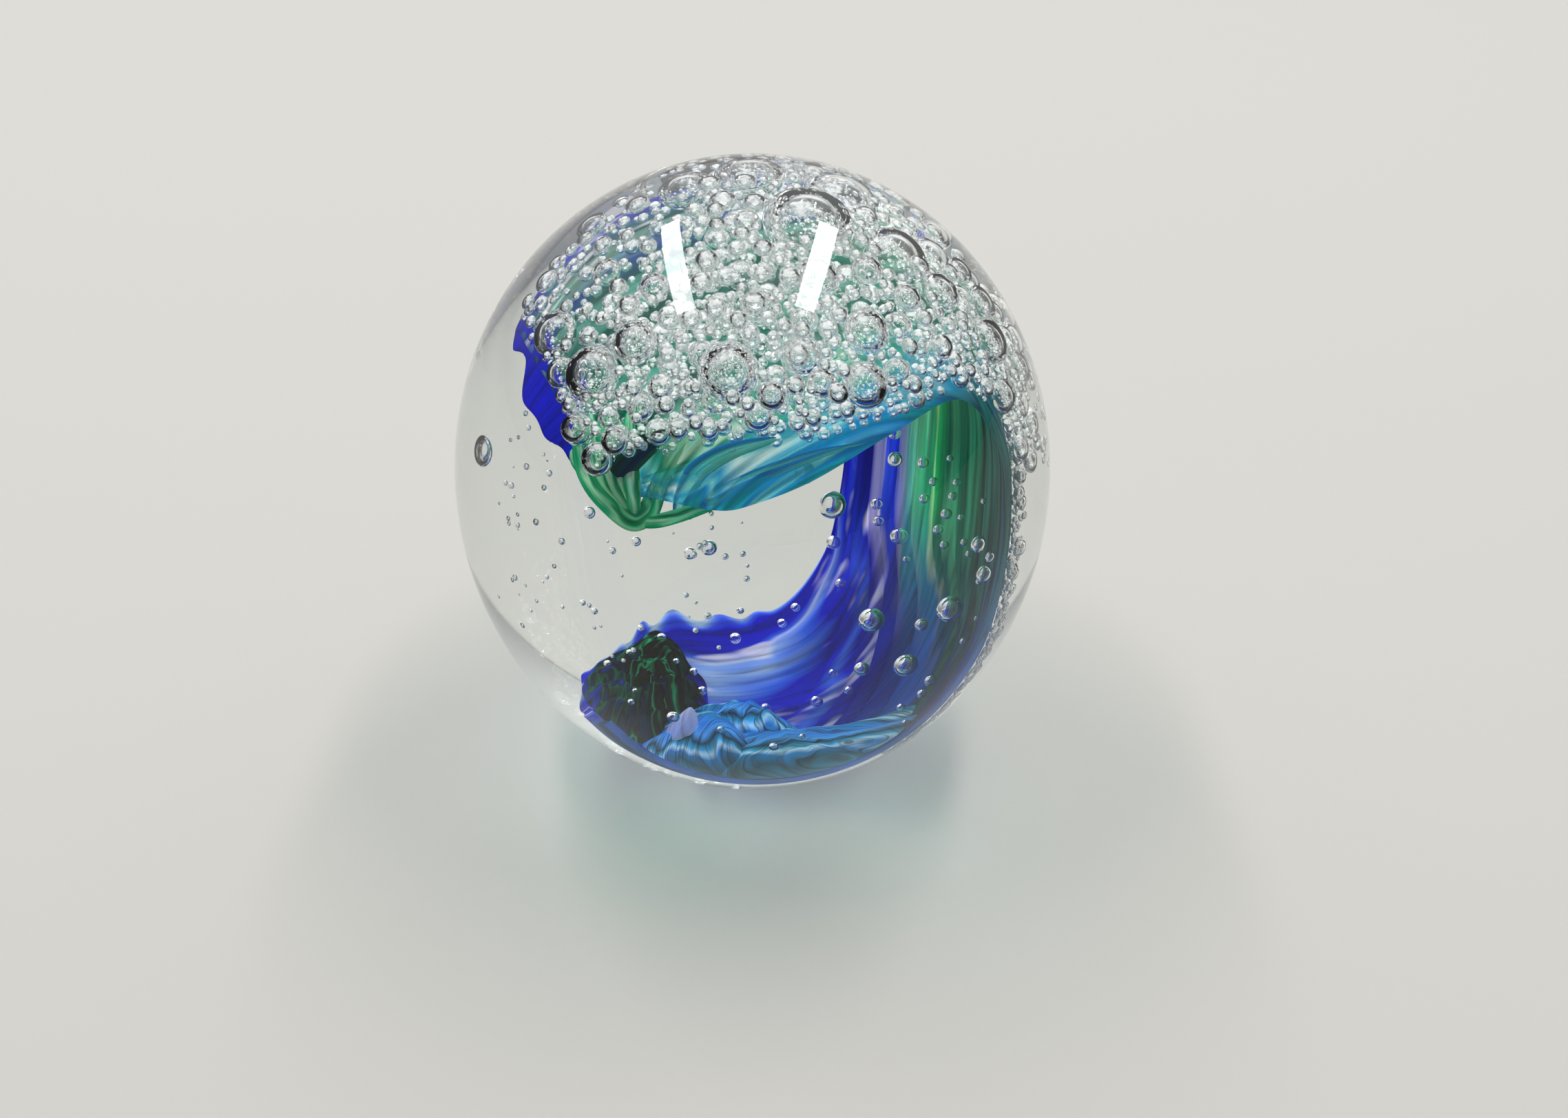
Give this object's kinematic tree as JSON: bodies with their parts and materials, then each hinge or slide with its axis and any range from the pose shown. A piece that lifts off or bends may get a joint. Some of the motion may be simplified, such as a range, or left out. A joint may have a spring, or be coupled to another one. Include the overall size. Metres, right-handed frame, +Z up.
{
  "type": "glass wave paperweight",
  "caption": "Egg-shaped clear glass paperweight with a breaking wave of blue and green glass ribbons and bubbly white foam inside.",
  "frame": {"origin": "centre of the ground foot, on the surface it stands on", "axes": "+Z up along the axis of the egg; the hollow face of the wave looks towards -Y and its crest breaks towards -X"},
  "size_m": [0.076, 0.076, 0.0795],
  "materials": {
    "clear_glass": "polished clear glass",
    "foam_glass": "clear glass full of white bubbles",
    "cobalt_glass": "glossy transparent cobalt glass",
    "blue_glass": "glossy mid blue glass",
    "opal_glass": "glossy milky white glass",
    "sky_blue_glass": "glossy sky blue glass",
    "light_green_glass": "glossy light green glass",
    "cream_glass": "glossy cream glass",
    "green_glass": "glossy green glass",
    "dark_green_glass": "glossy dark green glass",
    "bottle_green_glass": "glossy near-black green glass",
    "turquoise_glass": "glossy turquoise glass"
  },
  "bodies": {
    "root": {"clear_casing": "clear_glass", "clear_heart": "clear_glass", "ribbon_cobalt_edge": "cobalt_glass", "ribbon_mid_blue": "blue_glass", "ribbon_cobalt": "cobalt_glass", "ribbon_opal": "opal_glass", "ribbon_sky_blue": "sky_blue_glass", "ribbon_light_green": "light_green_glass", "ribbon_cream": "cream_glass", "ribbon_green": "green_glass", "ribbon_dark_green": "dark_green_glass", "ribbon_bottle_green": "bottle_green_glass", "ribbon_turquoise_edge": "turquoise_glass", "foam_crest": "foam_glass", "foam_trail": "foam_glass", "crest_tip": "green_glass", "left_fringe": "cobalt_glass", "sea_bed": "bottle_green_glass", "sea_swirl": "turquoise_glass"}
  },
  "joints": []
}
